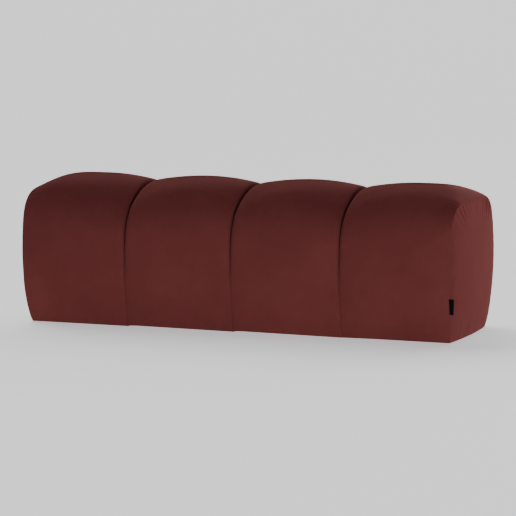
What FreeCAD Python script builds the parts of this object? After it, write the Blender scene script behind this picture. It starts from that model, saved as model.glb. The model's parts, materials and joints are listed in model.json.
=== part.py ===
import FreeCAD, Part
import math
import os

# A long padded bench: a timber box frame, foam all round it and a sewn velvet cover in bays.
# Millimetres. The origin is on the floor under the middle of the bench.
# X runs along the bench, the front faces -Y and Z is up.

# Overall sizes over the padding
LENGTH = 1400.0
DEPTH = 500.0
HEIGHT = 450.0

# Shape of the sewn cover
BAYS = 4                     # padded bays side by side, with a sewn groove between neighbours
END_CROWN = 15.0             # how far each end panel swells out past the last bay
END_RADIUS = 1790.0          # ball radius of that swell
END_MIDDLE_HEIGHT = 243.0    # height of the fullest point of an end panel
BELLY_HEIGHT = 221.0         # height at which the front and the back stand out furthest
HEM_SET_IN = 44.0            # how far the hem is drawn in behind the belly
SHOULDER_RADIUS = 160.0      # roll from the front over to the top, in the middle of a bay
TOP_RADIUS = 480.0           # crown of the top from front to back, in the middle of a bay
GROOVE_DROP = 18.0           # how far a groove lies below the crown of a bay
GROOVE_SET_IN = 14.0         # how far a groove lies behind the belly of a bay
GROOVE_SHOULDER = 131.0      # roll from the front over to the top at a groove
GROOVE_TOP_RADIUS = 305.0    # crown of the top from front to back at a groove
GROOVE_POWER = 2.0           # sharpness of the roll into a groove
END_DROP = 39.0              # fall of the top towards an end seam
END_SET_IN = 21.5            # fall of the front towards an end seam
END_HEM_SET_IN = 13.0        # extra set-in of the hem towards an end seam
END_SHOULDER = 100.0         # roll from the front over to the top at an end seam
END_TOP_RADIUS = 1500.0      # crown of the top from front to back at an end seam
END_POWER = 4.1              # sharpness of the roll into an end seam

# Cover, foam and linings
COVER_THICKNESS = 2.0
SOFT_GAP = 0.3               # clearance between cover, foam and tapes
SEAM_GAP = 0.1               # clearance at a sewn end seam
SEAM_ALLOWANCE = 12.0        # cloth turned inwards along a groove
HEM_LAP = 60.0               # how far the hem laps under the frame
SEAT_FOAM = 110.0            # foam over the deck, at the crown of a bay
HEM_FOAM = 22.0              # foam on the front and back, at the hem
END_FOAM = 55.0              # foam on an end, at its fullest point
DUST_COVER_THICKNESS = 0.8
DUST_COVER_INSET = 9.0       # from the frame's edge to the dust cover's edge

# Timber frame
RAIL_WIDTH = 45.0
RAIL_HEIGHT = 30.0
POST_WIDTH = 45.0
DIVIDER_THICKNESS = 18.0
DECK_THICKNESS = 12.0
BOARD_THICKNESS = 3.0
CORNER_BLOCK_LEG = 90.0

# Glides, screws and staples
GLIDE_HEIGHT = 6.0
GLIDE_RADIUS = 16.0
GLIDE_EDGE_RADIUS = 2.0
GLIDE_FROM_END = 70.0        # from the frame's end to a glide's middle
GLIDE_FROM_FACE = 41.7       # from the frame's front or back to a glide's middle
GLIDE_RECESS = 1.5           # depth of a screw head below the glide's face
SCREW_RADIUS = 2.0
SCREW_HEAD_RADIUS = 4.0
SCREW_HEAD_HEIGHT = 2.5
SCREW_TIP = 4.0
SCREW_CLEARANCE = 0.1
GLIDE_SCREW_LENGTH = 28.0
FRAME_SCREW_LENGTH = 70.0
DECK_SCREW_LENGTH = 35.0
STAPLE_CROWN = 11.0
STAPLE_WIRE = 1.2
STAPLE_HEIGHT = 0.7
STAPLE_PITCH = 60.0
STAPLE_FROM_EDGE = 7.0

# Loop label in the front right seam
LABEL_HEIGHT = 46.0
LABEL_REACH = 14.0
LABEL_TAPE = 0.6
LABEL_LOOP_RADIUS = 1.0      # outside of the folded edge
LABEL_LOW = 90.0             # height of its lower edge
LABEL_SEAM_GAP = 0.8         # room for the seam's curve behind the straight label

# Sizes that follow
HEM_HEIGHT = GLIDE_HEIGHT + DUST_COVER_THICKNESS
HEM_HALF_DEPTH = DEPTH / 2 - HEM_SET_IN
PITCH = (LENGTH - 2 * END_CROWN) / BAYS
FOAM_INSET = COVER_THICKNESS + SOFT_GAP
FRAME_LENGTH = LENGTH - 2 * (FOAM_INSET + END_FOAM)
FRAME_DEPTH = 2 * (HEM_HALF_DEPTH - FOAM_INSET - HEM_FOAM)
FRAME_BOTTOM = HEM_HEIGHT + COVER_THICKNESS
DECK_TOP = HEIGHT - FOAM_INSET - SEAT_FOAM
FRAME_TOP = DECK_TOP - DECK_THICKNESS
TIMBER_X = FRAME_LENGTH / 2 - BOARD_THICKNESS
TIMBER_Y = FRAME_DEPTH / 2 - BOARD_THICKNESS
RAIL_MIDDLE_X = TIMBER_X - RAIL_WIDTH / 2
RAIL_MIDDLE_Y = TIMBER_Y - RAIL_WIDTH / 2
GROOVES = [(number - BAYS / 2) * PITCH for number in range(1, BAYS)]

# Shares of half a bay at which the cover's shape is set
STATIONS = (-1.0, -0.9, -0.72, -0.42, 0.0, 0.42, 0.72, 0.9, 1.0)
END_OVERRUN = 2.0            # cut-away length of the end bays past the end panels
CUT_MARGIN = 50.0            # how far cutting blocks reach past what they cut

SIDES = (("left", -1), ("right", 1))
FACES = (("front", -1), ("rear", 1))


def point(x, y, z):
    """A point or direction in the bench's frame."""
    return FreeCAD.Vector(x, y, z)


def block(low, high):
    """A box between two corners, given in any order."""
    corner = [min(a, b) for a, b in zip(low, high)]
    size = [abs(b - a) for a, b in zip(low, high)]
    return Part.makeBox(*size, point(*corner))


def bay_middle(bay):
    """Station of the middle of a bay, counted from the left."""
    return (bay + 0.5 - BAYS / 2) * PITCH


def bay_stations(bay):
    """Stations along a bay at which its section is set, from left to right."""
    shares = list(STATIONS)
    past_end = (LENGTH / 2 + END_OVERRUN - bay_middle(BAYS - 1)) / (PITCH / 2)
    if bay == 0:
        shares = [-past_end] + shares
    if bay == BAYS - 1:
        shares = shares + [past_end]
    return [bay_middle(bay) + share * PITCH / 2 for share in shares]


def bay_values(bay, x):
    """Top, belly, hem, shoulder roll and top crown of a bay's section at a station."""
    share = (x - bay_middle(bay)) / (PITCH / 2)
    at_end = (bay == 0 and share < 0) or (bay == BAYS - 1 and share > 0)
    power = END_POWER if at_end else GROOVE_POWER
    drop = END_DROP if at_end else GROOVE_DROP
    set_in = END_SET_IN if at_end else GROOVE_SET_IN
    hem_set_in = END_HEM_SET_IN if at_end else 0.0
    shoulder = END_SHOULDER if at_end else GROOVE_SHOULDER
    top_radius = END_TOP_RADIUS if at_end else GROOVE_TOP_RADIUS
    lost = abs(share) ** power
    turned = min(lost, 1.0)
    roll = SHOULDER_RADIUS + (shoulder - SHOULDER_RADIUS) * turned
    bend = 1 / TOP_RADIUS + (1 / top_radius - 1 / TOP_RADIUS) * turned
    return HEIGHT - drop * lost, DEPTH / 2 - set_in * lost, HEM_HALF_DEPTH - hem_set_in * lost, roll, 1 / bend


def circles_meet(first, first_radius, second, second_radius):
    """The outer upper meeting point (y, z) of two circles."""
    dy = second[0] - first[0]
    dz = second[1] - first[1]
    apart = math.hypot(dy, dz)
    along = (first_radius ** 2 - second_radius ** 2 + apart ** 2) / (2 * apart)
    aside = math.sqrt(first_radius ** 2 - along ** 2)
    y = first[0] + (along * dy - aside * dz) / apart
    z = first[1] + (along * dz + aside * dy) / apart
    mirrored_y = first[0] + (along * dy + aside * dz) / apart
    mirrored_z = first[1] + (along * dz - aside * dy) / apart
    return max((y, z), (mirrored_y, mirrored_z), key=sum)


def section_circles(bay, x):
    """Centre and radius of the side, shoulder and top arcs of a bay's section."""
    top, belly, hem, roll, top_radius = bay_values(bay, x)
    rise = BELLY_HEIGHT - HEM_HEIGHT
    set_in = belly - hem
    side_radius = (set_in ** 2 + rise ** 2) / (2 * set_in)
    side = (belly - side_radius, BELLY_HEIGHT)
    over = (0.0, top - top_radius)
    shoulder = circles_meet(side, side_radius - roll, over, top_radius - roll)
    return (side, side_radius), (shoulder, roll), (over, top_radius)


def section(bay, x, inset):
    """Closed outline across a bay at a station, a given distance inside the cover's face."""
    (side, side_radius), (shoulder, roll), (over, top_radius) = section_circles(bay, x)
    low = HEM_HEIGHT + inset
    foot_angle = math.asin((low - side[1]) / (side_radius - inset))
    side_angle = math.atan2(shoulder[1] - side[1], shoulder[0] - side[0])
    top_angle = math.atan2(shoulder[1] - over[1], shoulder[0] - over[0])
    arcs = ((side, side_radius - inset, foot_angle, side_angle),
            (shoulder, roll - inset, side_angle, top_angle))

    def on_arc(centre, radius, angle, mirror):
        return point(x, mirror * (centre[0] + radius * math.cos(angle)), centre[1] + radius * math.sin(angle))

    edges = []
    for centre, radius, start, end in arcs:
        marks = [on_arc(centre, radius, angle, 1) for angle in (start, (start + end) / 2, end)]
        edges.append(Part.Arc(*marks).toShape())
    crest = [on_arc(over, top_radius - inset, angle, 1) for angle in (top_angle, math.pi / 2)]
    far_side = on_arc(over, top_radius - inset, top_angle, -1)
    edges.append(Part.Arc(crest[0], crest[1], far_side).toShape())
    for centre, radius, start, end in reversed(arcs):
        marks = [on_arc(centre, radius, angle, -1) for angle in (end, (start + end) / 2, start)]
        edges.append(Part.Arc(*marks).toShape())
    feet = [on_arc(side, side_radius - inset, foot_angle, mirror) for mirror in (-1, 1)]
    edges.append(Part.makeLine(*feet))
    return Part.Wire(edges)


def bay_form(bay, inset):
    """Solid of one bay, a given distance inside the cover's face, before its end is rounded."""
    wires = [section(bay, x, inset) for x in bay_stations(bay)]
    return Part.makeLoft(wires, True, False)


def end_ball(side, inset):
    """Large ball whose cap is the swell of one end panel."""
    middle = point(side * (LENGTH / 2 - END_RADIUS), 0, END_MIDDLE_HEIGHT)
    ball = Part.makeSphere(END_RADIUS - inset, middle)
    if side > 0:
        ball.rotate(middle, point(0, 0, 1), 180)
    return ball


def end_side(bay):
    """-1 or 1 for the bay at the left or right end, 0 for one between."""
    if bay == 0:
        return -1
    return 1 if bay == BAYS - 1 else 0


def groove_plate(bay, x, inset, thickness):
    """Plate with a bay's outline, standing in a groove's plane and running along X."""
    return Part.Face(section(bay, x, inset)).extrude(point(thickness, 0, 0))


def frame_envelope():
    """The box that the boarded frame and its deck fill."""
    return block((-FRAME_LENGTH / 2, -FRAME_DEPTH / 2, FRAME_BOTTOM), (FRAME_LENGTH / 2, FRAME_DEPTH / 2, DECK_TOP))


def hem_window():
    """Opening that the hem leaves under the frame."""
    x = FRAME_LENGTH / 2 - HEM_LAP
    y = FRAME_DEPTH / 2 - HEM_LAP
    return block((-x, -y, HEM_HEIGHT - CUT_MARGIN), (x, y, HEM_HEIGHT + CUT_MARGIN))


def cover_panel(bay, holes):
    """Velvet over one bay: front, top and back in one, seam allowances and a hem turned under."""
    left, right = bay_middle(bay) - PITCH / 2, bay_middle(bay) + PITCH / 2
    shell = bay_form(bay, 0.0)
    filling = bay_form(bay, COVER_THICKNESS)
    reach = LENGTH
    low, high = (-reach, -DEPTH, -HEIGHT), (reach, DEPTH, 2 * HEIGHT)
    cuts = [frame_envelope(), hem_window()] + holes
    if end_side(bay) >= 0:
        low = (left + COVER_THICKNESS, low[1], low[2])
        cuts.append(groove_plate(bay, left, SEAM_ALLOWANCE, COVER_THICKNESS))
    if end_side(bay) <= 0:
        high = (right - COVER_THICKNESS, high[1], high[2])
        cuts.append(groove_plate(bay, right, SEAM_ALLOWANCE, -COVER_THICKNESS))
    panel = shell.cut(filling.common(block(low, high)))
    for cut in cuts:
        panel = panel.cut(cut)
    if end_side(bay):
        panel = panel.common(end_ball(end_side(bay), COVER_THICKNESS + SEAM_GAP))
    return panel


def end_panel(side):
    """Velvet over one end, sewn to the last bay along its edge."""
    bay = 0 if side < 0 else BAYS - 1
    cap = bay_form(bay, 0.0).common(end_ball(side, 0.0))
    return cap.cut(end_ball(side, COVER_THICKNESS))


def bay_foam(bay):
    """All the foam of one bay in one piece, clear of the cover and of the tapes in the grooves."""
    left, right = bay_middle(bay) - PITCH / 2, bay_middle(bay) + PITCH / 2
    foam = bay_form(bay, FOAM_INSET)
    low = left + FOAM_INSET if end_side(bay) >= 0 else -LENGTH
    high = right - FOAM_INSET if end_side(bay) <= 0 else LENGTH
    foam = foam.common(block((low, -DEPTH, 0), (high, DEPTH, 2 * HEIGHT)))
    if end_side(bay):
        foam = foam.common(end_ball(end_side(bay), FOAM_INSET))
    return foam


def foam_pieces(bay):
    """Foam of one bay cut into the pieces that are glued to the deck, front, back and end."""
    foam = bay_foam(bay)
    number = bay + 1
    x, y = FRAME_LENGTH / 2, FRAME_DEPTH / 2
    pieces = {f"seat_foam_{number}": foam.common(block((-LENGTH, -DEPTH, DECK_TOP), (LENGTH, DEPTH, 2 * HEIGHT)))}
    for face, sign in FACES:
        slab = block((-x, sign * y, 0), (x, sign * DEPTH, DECK_TOP))
        pieces[f"{face}_foam_{number}"] = foam.common(slab)
    for name, sign in SIDES:
        if end_side(bay) == sign:
            slab = block((sign * x, -DEPTH, 0), (sign * LENGTH, DEPTH, DECK_TOP))
            pieces[f"end_foam_{name}"] = foam.common(slab)
    return pieces


def listing_strip(number):
    """Doubled tape that ties a groove's seam allowance down to the frame."""
    inset = SEAM_ALLOWANCE + SOFT_GAP
    x = GROOVES[number]
    plate = groove_plate(number, x, inset, COVER_THICKNESS)
    plate = plate.fuse(groove_plate(number, x, inset, -COVER_THICKNESS)).removeSplitter()
    below_hem = block((-LENGTH, -DEPTH, 0), (LENGTH, DEPTH, FRAME_BOTTOM))
    return plate.cut(frame_envelope()).cut(below_hem)


def screw(head, direction, length):
    """Countersunk wood screw from the middle of its head's face, and the hole that it needs."""
    solids = []
    for slack in (0.0, SCREW_CLEARANCE):
        cone = Part.makeCone(SCREW_HEAD_RADIUS + slack, SCREW_RADIUS + slack, SCREW_HEAD_HEIGHT, head, direction)
        shank_start = head + direction * SCREW_HEAD_HEIGHT
        shank_length = length - SCREW_HEAD_HEIGHT - SCREW_TIP
        shank = Part.makeCylinder(SCREW_RADIUS + slack, shank_length, shank_start, direction)
        tip_start = shank_start + direction * shank_length
        tip = Part.makeCone(SCREW_RADIUS + slack, slack, SCREW_TIP + slack, tip_start, direction)
        solids.append(cone.fuse([shank, tip]).removeSplitter())
    return solids


def glide_places():
    """Name and place of each glide, under the front and rear rails near the ends."""
    places = {}
    for face, face_sign in FACES:
        for side, side_sign in SIDES:
            x = side_sign * (FRAME_LENGTH / 2 - GLIDE_FROM_END)
            places[f"glide_{face}_{side}"] = (x, face_sign * (FRAME_DEPTH / 2 - GLIDE_FROM_FACE))
    return places


def glide_screws():
    """Screws that go up through the glides into the bottom rails."""
    up = point(0, 0, 1)
    return [screw(point(x, y, GLIDE_RECESS), up, GLIDE_SCREW_LENGTH) for x, y in glide_places().values()]


def frame_screws():
    """Screws through the rails into the posts and dividers, from above and from below."""
    post_x = TIMBER_X - POST_WIDTH / 2
    made = []
    for x in [-post_x, post_x] + GROOVES:
        for y in (-RAIL_MIDDLE_Y, RAIL_MIDDLE_Y):
            made.append(screw(point(x, y, FRAME_TOP), point(0, 0, -1), FRAME_SCREW_LENGTH))
            made.append(screw(point(x, y, FRAME_BOTTOM), point(0, 0, 1), FRAME_SCREW_LENGTH))
    return made


def deck_screws():
    """Screws that hold the deck to the top rails, two to a bay and one at each end."""
    places = [(bay_middle(bay), y) for bay in range(BAYS) for y in (-RAIL_MIDDLE_Y, RAIL_MIDDLE_Y)]
    places += [(-RAIL_MIDDLE_X, 0.0), (RAIL_MIDDLE_X, 0.0)]
    return [screw(point(x, y, DECK_TOP), point(0, 0, -1), DECK_SCREW_LENGTH) for x, y in places]


def glide(x, y, hole):
    """Low round plastic glide with an eased edge and a recessed screw."""
    disc = Part.makeCylinder(GLIDE_RADIUS, GLIDE_HEIGHT, point(x, y, 0))
    lower_rim = [edge for edge in disc.Edges if edge.BoundBox.ZMax < GLIDE_HEIGHT / 2]
    disc = disc.makeFillet(GLIDE_EDGE_RADIUS, lower_rim)
    recess = Part.makeCylinder(SCREW_HEAD_RADIUS + SCREW_CLEARANCE, GLIDE_RECESS, point(x, y, 0))
    return disc.cut(recess).cut(hole)


def rails():
    """Bottom and top rings of rails: long ones at the front and rear, short ones between them."""
    made = {}
    levels = (("bottom", FRAME_BOTTOM), ("top", FRAME_TOP - RAIL_HEIGHT))
    inner_y = TIMBER_Y - RAIL_WIDTH
    for level, low in levels:
        high = low + RAIL_HEIGHT
        for face, sign in FACES:
            made[f"{face}_{level}_rail"] = block((-TIMBER_X, sign * TIMBER_Y, low), (TIMBER_X, sign * inner_y, high))
        for side, sign in SIDES:
            outer, inner = sign * TIMBER_X, sign * (TIMBER_X - RAIL_WIDTH)
            made[f"{side}_{level}_rail"] = block((outer, -inner_y, low), (inner, inner_y, high))
    return made


def posts():
    """Corner posts between the two rings."""
    made = {}
    low, high = FRAME_BOTTOM + RAIL_HEIGHT, FRAME_TOP - RAIL_HEIGHT
    for face, face_sign in FACES:
        for side, side_sign in SIDES:
            outer = (side_sign * TIMBER_X, face_sign * TIMBER_Y, low)
            inner = (side_sign * (TIMBER_X - POST_WIDTH), face_sign * (TIMBER_Y - POST_WIDTH), high)
            made[f"post_{face}_{side}"] = block(outer, inner)
    return made


def divider(x):
    """Plywood divider under a groove, notched round the four long rails."""
    half = DIVIDER_THICKNESS / 2
    board = block((x - half, -TIMBER_Y, FRAME_BOTTOM), (x + half, TIMBER_Y, FRAME_TOP))
    for sign in (-1, 1):
        inner, outer = sign * (TIMBER_Y - RAIL_WIDTH), sign * (TIMBER_Y + CUT_MARGIN)
        for low, high in ((FRAME_BOTTOM - CUT_MARGIN, FRAME_BOTTOM + RAIL_HEIGHT),
                          (FRAME_TOP - RAIL_HEIGHT, FRAME_TOP + CUT_MARGIN)):
            board = board.cut(block((x - CUT_MARGIN, inner, low), (x + CUT_MARGIN, outer, high)))
    return board


def corner_blocks():
    """Triangular glue blocks in the corners of the bottom ring."""
    made = {}
    for face, face_sign in FACES:
        for side, side_sign in SIDES:
            x = side_sign * (TIMBER_X - RAIL_WIDTH)
            y = face_sign * (TIMBER_Y - RAIL_WIDTH)
            corners = [point(x, y, FRAME_BOTTOM),
                       point(x - side_sign * CORNER_BLOCK_LEG, y, FRAME_BOTTOM),
                       point(x, y - face_sign * CORNER_BLOCK_LEG, FRAME_BOTTOM)]
            outline = Part.makePolygon(corners + corners[:1])
            made[f"corner_block_{face}_{side}"] = Part.Face(outline).extrude(point(0, 0, RAIL_HEIGHT))
    return made


def boards():
    """Hardboard skins on the frame's four sides, and the plywood deck over all."""
    x, y = FRAME_LENGTH / 2, FRAME_DEPTH / 2
    made = {"seat_deck": block((-x, -y, FRAME_TOP), (x, y, DECK_TOP))}
    for face, sign in FACES:
        made[f"{face}_board"] = block((-x, sign * TIMBER_Y, FRAME_BOTTOM), (x, sign * y, FRAME_TOP))
    for side, sign in SIDES:
        made[f"{side}_board"] = block((sign * TIMBER_X, -TIMBER_Y, FRAME_BOTTOM), (sign * x, TIMBER_Y, FRAME_TOP))
    return made


def dust_cover():
    """Thin black cloth stapled over the underside."""
    x, y = FRAME_LENGTH / 2 - DUST_COVER_INSET, FRAME_DEPTH / 2 - DUST_COVER_INSET
    return block((-x, -y, HEM_HEIGHT - DUST_COVER_THICKNESS), (x, y, HEM_HEIGHT))


def hem_staples():
    """Staple crowns along the dust cover's edge, none under a glide; the legs are left out."""
    half_x = FRAME_LENGTH / 2 - DUST_COVER_INSET - STAPLE_FROM_EDGE
    half_y = FRAME_DEPTH / 2 - DUST_COVER_INSET - STAPLE_FROM_EDGE
    top = HEM_HEIGHT - DUST_COVER_THICKNESS
    glide_room = GLIDE_RADIUS + STAPLE_CROWN
    crowns = []

    def add(x, y, size_x, size_y):
        if any(math.hypot(x - glide_x, y - glide_y) < glide_room for glide_x, glide_y in glide_places().values()):
            return
        low = (x - size_x / 2, y - size_y / 2, top - STAPLE_HEIGHT)
        crowns.append(block(low, (x + size_x / 2, y + size_y / 2, top)))

    long_count = int(2 * half_x / STAPLE_PITCH)
    short_count = int(2 * half_y / STAPLE_PITCH)
    for sign in (-1, 1):
        for index in range(long_count):
            x = (index + 0.5 - long_count / 2) * STAPLE_PITCH
            add(x, sign * half_y, STAPLE_CROWN, STAPLE_WIRE)
        for index in range(short_count):
            y = (index + 0.5 - short_count / 2) * STAPLE_PITCH
            add(sign * half_x, y, STAPLE_WIRE, STAPLE_CROWN)
    return Part.makeCompound(crowns)


def end_seam_point(z):
    """Point of the front right end seam at a height up to the belly's."""
    bay = BAYS - 1
    x = LENGTH / 2 - END_CROWN
    for _ in range(20):
        side, side_radius = section_circles(bay, x)[0]
        y = -(side[0] + math.sqrt(side_radius ** 2 - (z - side[1]) ** 2))
        rise = z - END_MIDDLE_HEIGHT
        x = LENGTH / 2 - END_RADIUS + math.sqrt(END_RADIUS ** 2 - y ** 2 - rise ** 2)
    return point(x, y, z)


def side_label():
    """Bare loop label: a folded tape that stands out of the front right seam."""
    low, high = end_seam_point(LABEL_LOW), end_seam_point(LABEL_LOW + LABEL_HEIGHT)
    upward = (high - low).normalize()
    outward = point(1, 0, 0)
    across = upward.cross(outward).normalize()
    outward = across.cross(upward)
    radii = (LABEL_LOOP_RADIUS, LABEL_LOOP_RADIUS - LABEL_TAPE)
    straight = LABEL_REACH - LABEL_LOOP_RADIUS
    loops = []
    for radius in radii:
        ends = [point(LABEL_SEAM_GAP, side * radius, 0) for side in (-1, 1)]
        bends = [point(straight, side * radius, 0) for side in (-1, 1)]
        nose = point(straight + radius, 0, 0)
        edges = [Part.makeLine(ends[0], bends[0]), Part.Arc(bends[0], nose, bends[1]).toShape(),
                 Part.makeLine(bends[1], ends[1]), Part.makeLine(ends[1], ends[0])]
        loops.append(Part.Face(Part.Wire(edges)).extrude(point(0, 0, LABEL_HEIGHT)))
    tape = loops[0].cut(loops[1])
    turn = FreeCAD.Rotation(outward, across, upward, "ZXY")
    tape.Placement = FreeCAD.Placement(low, turn)
    return tape


def cut_holes(shape, holes):
    """A piece with the screw holes that reach into it."""
    near = [hole for hole in holes if hole.BoundBox.intersect(shape.BoundBox)]
    return shape.cut(near) if near else shape


def assemble():
    """All pieces of the bench by name."""
    groups = {"glide_screws": glide_screws(), "frame_screws": frame_screws(), "deck_screws": deck_screws()}
    glide_holes = [hole for _body, hole in groups["glide_screws"]]
    all_holes = [hole for pairs in groups.values() for _body, hole in pairs]
    pieces = {}
    for bay in range(BAYS):
        near_holes = glide_holes if end_side(bay) else []
        pieces[f"cover_panel_{bay + 1}"] = cover_panel(bay, near_holes)
        pieces.update(foam_pieces(bay))
    for side, sign in SIDES:
        pieces[f"end_panel_{side}"] = end_panel(sign)
    for number in range(len(GROOVES)):
        pieces[f"listing_strip_{number + 1}"] = listing_strip(number)
    timber = {}
    timber.update(rails())
    timber.update(posts())
    timber.update(corner_blocks())
    timber.update(boards())
    for number, x in enumerate(GROOVES):
        timber[f"divider_{number + 1}"] = divider(x)
    timber["dust_cover"] = dust_cover()
    for name, shape in timber.items():
        pieces[name] = cut_holes(shape, all_holes)
    for (name, place), hole in zip(glide_places().items(), glide_holes):
        pieces[name] = glide(*place, hole)
    for name, pairs in groups.items():
        pieces[name] = Part.makeCompound([body for body, _hole in pairs])
    pieces["hem_staples"] = hem_staples()
    pieces["side_label"] = side_label()
    return pieces


def main():
    """Writes one file per piece and prints each piece's volume."""
    os.makedirs("parts", exist_ok=True)
    for name, shape in assemble().items():
        shape.exportStep(f"parts/{name}.step")
        print(f"{name}: {len(shape.Solids)} solid(s), {shape.Volume / 1000:.1f} cm3, valid {shape.isValid()}")


main()
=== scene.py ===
import json
import math

import bpy
import numpy as np
from bpy.props import FloatProperty, FloatVectorProperty, IntProperty, PointerProperty
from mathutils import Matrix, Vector


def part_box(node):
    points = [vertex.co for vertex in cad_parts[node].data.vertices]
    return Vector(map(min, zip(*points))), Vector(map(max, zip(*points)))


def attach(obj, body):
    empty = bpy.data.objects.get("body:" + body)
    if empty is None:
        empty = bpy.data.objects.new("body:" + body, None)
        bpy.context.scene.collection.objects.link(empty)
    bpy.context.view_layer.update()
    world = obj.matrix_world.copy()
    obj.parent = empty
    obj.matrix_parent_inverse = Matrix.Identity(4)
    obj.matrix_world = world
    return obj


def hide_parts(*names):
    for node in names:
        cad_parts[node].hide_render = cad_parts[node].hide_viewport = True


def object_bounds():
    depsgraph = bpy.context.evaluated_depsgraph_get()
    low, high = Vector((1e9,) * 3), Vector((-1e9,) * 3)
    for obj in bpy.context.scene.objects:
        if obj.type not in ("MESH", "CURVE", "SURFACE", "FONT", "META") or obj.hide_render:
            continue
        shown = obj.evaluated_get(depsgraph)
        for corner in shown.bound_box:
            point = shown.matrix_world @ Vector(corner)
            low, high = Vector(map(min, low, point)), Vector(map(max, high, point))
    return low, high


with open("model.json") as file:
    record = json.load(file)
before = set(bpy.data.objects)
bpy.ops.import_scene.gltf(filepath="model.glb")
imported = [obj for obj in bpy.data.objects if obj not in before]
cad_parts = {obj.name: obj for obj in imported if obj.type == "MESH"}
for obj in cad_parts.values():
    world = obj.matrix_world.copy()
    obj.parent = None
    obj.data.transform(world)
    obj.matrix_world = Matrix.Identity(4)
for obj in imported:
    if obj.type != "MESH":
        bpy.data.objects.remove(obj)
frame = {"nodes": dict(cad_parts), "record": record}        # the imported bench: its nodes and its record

bl_info = {
    "name": "Padded velvet bench",
    "version": (1, 0, 0),
    "blender": (4, 5, 0),
    "location": "3D View > Sidebar > Bench",
    "description": "Dresses the bench in sewn velvet over foam, with its lining, label and timber finishes",
    "category": "Object",
}

TINY = 1e-9
WHITE = (1.0, 1.0, 1.0)
NO_GLOSS = {"Specular IOR Level": 0.0}

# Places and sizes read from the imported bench, in metres
CAD_BOX = [list(corner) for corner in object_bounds()]
BAYS = sum(name.startswith("cover_panel_") for name in frame["nodes"])
GROOVES = [sum(corner[0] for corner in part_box(f"listing_strip_{n}")) / 2 for n in range(1, BAYS)]
PITCH = GROOVES[1] - GROOVES[0]
BELLY_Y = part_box("cover_panel_2")[1][1]
TOP_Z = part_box("cover_panel_2")[1][2]
HEM_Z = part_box("cover_panel_2")[0][2]
FRAME_X, FRAME_Y, DECK_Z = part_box("seat_deck")[1]
FRAME_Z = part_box("front_board")[0][2]
TAPE_HALF = (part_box("listing_strip_1")[1][0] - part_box("listing_strip_1")[0][0]) / 2

# Left is -1 and right is 1: the bay at each end, and the column of a bay's places along its seam on that side
SIDES = (("left", -1), ("right", 1))
END_BAY = {-1: 0, 1: BAYS - 1}
SEAM_COLUMN = {-1: 0, 1: -1}

# Fineness of the velvet. Rows across a bay run from the front hem over the top to the rear hem
END_CELLS = 64  # along each edge of an end panel
ROWS = 3 * END_CELLS + 1
SEAM_STEPS = (0.0, 0.0012, 0.0028, 0.0050, 0.0080, 0.0120)  # from a seam to the columns beside it
PLAIN_STEP = 0.0062  # between the other columns
MEETING_STEPS = 24  # to find where a bay's face meets an end panel
SHARP = math.radians(40)  # an edge that turns more than this stays sharp

# Ends and seams
END_PROUD = 0.005  # how far an end panel's swell stands past its solid
END_X = CAD_BOX[1][0] + END_PROUD
RIM_RUN = 1.16  # length of an end seam from hem to hem
CORNER = 0.360  # share of it, from the front hem, at its upper front corner
WRAP_RUN = 1.19  # length of a bay's velvet from hem to hem
END_SPAN = (0.48, 0.40)  # width and height of an end panel
ALLOWANCE = 0.010  # velvet turned in at a seam
TAPE_GAP = 0.0003  # between a bay and the tape beside it

# Forms of the hem: how far up from it, or along from a seam, each one runs out
TUCK_RISE = 0.013
DIP_RISE = 0.05
DIP_RUN = 0.05
POINT_RISE = 0.02
POINT_RUN = 0.007
RIPPLE_RISE = 0.03
RIPPLES = ((31, 1.0, 1.0), (73, 1.7, 0.7), (149, 0.6, 0.45))  # radians per metre, share of phase, height
RIPPLE_END = 12  # power by which an end panel's ripple stops short of its seam

# Gathers beside the end seams: distance apart, and reach in from the seam
BAY_GATHERS = (0.018, 0.012)
END_GATHERS = (0.034, 0.030)
BAY_GATHER_SHARE = 0.5  # height on a bay to height on an end panel
GATHER_STRAY = 0.9  # how far, and how fast, their spacing strays
GATHER_DRIFT = 0.75
GATHER_WIDE = 2.2  # wider gathers among them: distance apart, height and phase to the others'
GATHER_WIDE_HEIGHT = 0.4
GATHER_WIDE_PHASE = 2.1
GATHER_LEAST = 0.05  # share of the height that is left away from the corners


def number(name, description, default, unit="NONE"):
    """Property for a number, with its unit where it has one."""
    return FloatProperty(name=name, description=description, default=default, unit=unit)


def length(name, description, default):
    """Property for a length in metres."""
    return number(name, description, default, "LENGTH")


def angle(name, description, degrees):
    """Property for an angle."""
    return FloatProperty(name=name, description=description, default=math.radians(degrees), subtype="ANGLE")


def colour(name, description, default):
    """Property for a colour."""
    return FloatVectorProperty(name=name, description=description, default=default, subtype="COLOR", size=3)


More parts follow.
